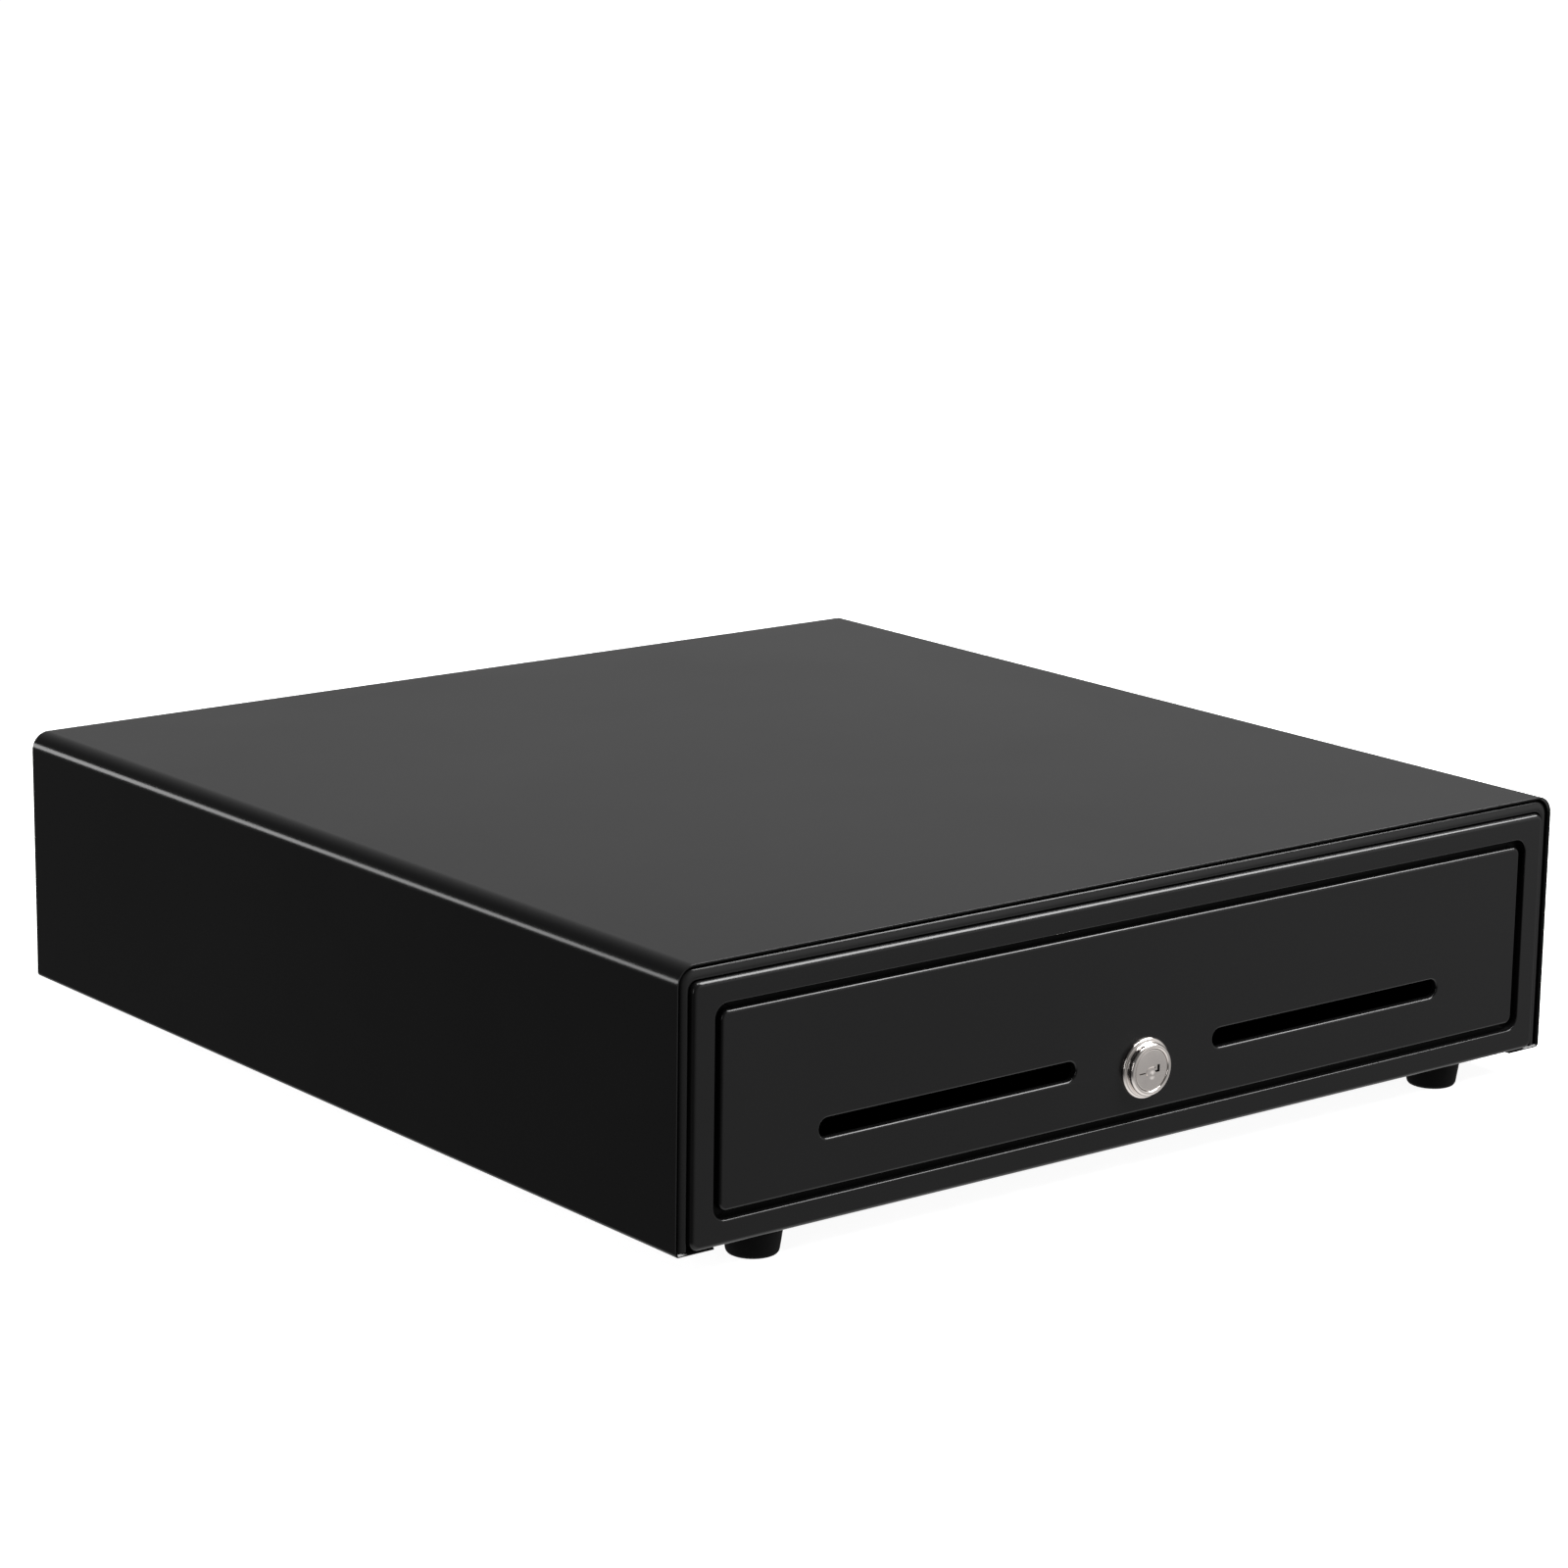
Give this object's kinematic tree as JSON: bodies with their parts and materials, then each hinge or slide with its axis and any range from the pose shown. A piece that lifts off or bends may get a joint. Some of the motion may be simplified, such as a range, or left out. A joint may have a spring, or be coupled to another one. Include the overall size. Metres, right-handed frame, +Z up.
{
  "type": "cash drawer",
  "caption": "Low black sheet-steel cash drawer with a key lock and two media slots in its front, a sliding tray on ball slides, and a note and coin till inside.",
  "frame": {"origin": "middle of the whole object's footprint, on the surface that its feet stand on", "axes": "+Z up, -Y out of the drawer's front, +X to the right of a person facing the drawer"},
  "size_m": [0.41, 0.42, 0.108],
  "materials": {
    "powder_black": "fine-grain satin powder coat",
    "zinc_steel": "zinc plated, satin",
    "nickel": "polished nickel plate",
    "spring_steel": "oiled spring wire",
    "rubber_black": "matt moulded rubber",
    "till_black": "moulded ABS, fine texture",
    "nylon_natural": "natural nylon",
    "winding_tape": "wound tape over the coil"
  },
  "bodies": {
    "case": {"housing_cover": "powder_black", "chassis_pan": "powder_black", "front_frame": "powder_black", "frame_rivets": "powder_black", "rear_panel": "powder_black", "rear_screws": "zinc_steel", "cover_screws": "zinc_steel", "rubber_feet": "rubber_black", "foot_screws": "zinc_steel", "cable_grommet": "rubber_black", "left_outer_rail": "zinc_steel", "right_outer_rail": "zinc_steel", "rail_rivets": "zinc_steel", "mechanism_bracket": "zinc_steel", "bracket_screws": "zinc_steel", "latch_pivot_pin": "zinc_steel", "latch_spring": "spring_steel", "solenoid_frame": "zinc_steel", "solenoid_coil": "winding_tape", "eject_guides": "zinc_steel", "eject_springs": "spring_steel", "switch_bracket": "zinc_steel", "switch_body": "till_black", "switch_screws": "zinc_steel"},
    "drawer": {"drawer_tray": "powder_black", "till_rests": "powder_black", "front_plate": "powder_black", "inset_panel": "powder_black", "front_screws": "zinc_steel", "lock_housing": "nickel", "lock_nut": "nickel", "left_inner_rail": "zinc_steel", "right_inner_rail": "zinc_steel", "inner_rail_screws": "zinc_steel", "striker": "zinc_steel", "striker_rivets": "zinc_steel", "rod_bushing": "nylon_natural", "till": "till_black", "note_dividers": "till_black", "coin_tray": "till_black", "clip_rod": "spring_steel", "clip_springs": "spring_steel"},
    "lock": {"lock_plug": "nickel", "lock_rod": "zinc_steel", "lock_finger": "zinc_steel", "rod_pins": "spring_steel"},
    "latch": {"latch_lever": "zinc_steel"},
    "plunger": {"solenoid_plunger": "zinc_steel", "plunger_pin": "spring_steel"},
    "left_cage": {"left_ball_cage": "zinc_steel", "left_slide_balls": "spring_steel"},
    "right_cage": {"right_ball_cage": "zinc_steel", "right_slide_balls": "spring_steel"},
    "switch_arm": {"switch_lever": "spring_steel"},
    "switch_stem": {"switch_button": "nylon_natural"},
    "clip_1": {"note_clip_1": "spring_steel"},
    "clip_2": {"note_clip_2": "spring_steel"},
    "clip_3": {"note_clip_3": "spring_steel"},
    "clip_4": {"note_clip_4": "spring_steel"},
    "clip_5": {"note_clip_5": "spring_steel"}
  },
  "joints": [
    {"name": "drawer_slide", "type": "slide", "parent": "case", "child": "drawer", "axis": [0, -1, 0], "range_m": [0, 0.265]},
    {"name": "left_cage_slide", "type": "slide", "parent": "case", "child": "left_cage", "axis": [0, -1, 0], "range_m": [0, 0.1325]},
    {"name": "right_cage_slide", "type": "slide", "parent": "case", "child": "right_cage", "axis": [0, -1, 0], "range_m": [0, 0.1325]},
    {"name": "lock_turn", "type": "hinge", "parent": "drawer", "child": "lock", "pos_m": [0, -0.21, 0.0385], "axis": [0, 1, 0], "range_deg": [0, 90]},
    {"name": "latch_turn", "type": "hinge", "parent": "case", "child": "latch", "pos_m": [0.036, 0.197, 0.031], "axis": [0, 0, -1], "range_deg": [0, 16]},
    {"name": "plunger_slide", "type": "slide", "parent": "case", "child": "plunger", "axis": [-1, 0, 0], "range_m": [0, 0.0034]},
    {"name": "switch_arm_turn", "type": "hinge", "parent": "case", "child": "switch_arm", "pos_m": [-0.0605, 0.1672, 0.0232], "axis": [0, 0, 1], "range_deg": [0, 5], "stiffness_Nm_per_rad": 0.02, "springref_deg": -2.86},
    {"name": "switch_stem_slide", "type": "slide", "parent": "case", "child": "switch_stem", "axis": [0, 1, 0], "range_m": [0, 0.001]},
    {"name": "note_clip_1_lift", "type": "hinge", "parent": "drawer", "child": "clip_1", "pos_m": [-0.1488, 0.141, 0.084], "axis": [-1, 0, 0], "range_deg": [0, 26], "stiffness_Nm_per_rad": 0.02, "springref_deg": -34.38},
    {"name": "note_clip_2_lift", "type": "hinge", "parent": "drawer", "child": "clip_2", "pos_m": [-0.0744, 0.141, 0.084], "axis": [-1, 0, 0], "range_deg": [0, 26], "stiffness_Nm_per_rad": 0.02, "springref_deg": -34.38},
    {"name": "note_clip_3_lift", "type": "hinge", "parent": "drawer", "child": "clip_3", "pos_m": [0, 0.141, 0.084], "axis": [-1, 0, 0], "range_deg": [0, 26], "stiffness_Nm_per_rad": 0.02, "springref_deg": -34.38},
    {"name": "note_clip_4_lift", "type": "hinge", "parent": "drawer", "child": "clip_4", "pos_m": [0.0744, 0.141, 0.084], "axis": [-1, 0, 0], "range_deg": [0, 26], "stiffness_Nm_per_rad": 0.02, "springref_deg": -34.38},
    {"name": "note_clip_5_lift", "type": "hinge", "parent": "drawer", "child": "clip_5", "pos_m": [0.1488, 0.141, 0.084], "axis": [-1, 0, 0], "range_deg": [0, 26], "stiffness_Nm_per_rad": 0.02, "springref_deg": -34.38}
  ],
  "couplings": [
    {"joint": "left_cage_slide", "follows": "drawer_slide", "ratio": 0.5},
    {"joint": "right_cage_slide", "follows": "drawer_slide", "ratio": 0.5},
    {"joint": "latch_turn", "follows": "lock_turn", "ratio": 0.17777},
    {"joint": "plunger_slide", "follows": "lock_turn", "m_per_rad": 0.00214},
    {"joint": "switch_stem_slide", "follows": "switch_arm_turn", "m_per_rad": 0.0105}
  ]
}
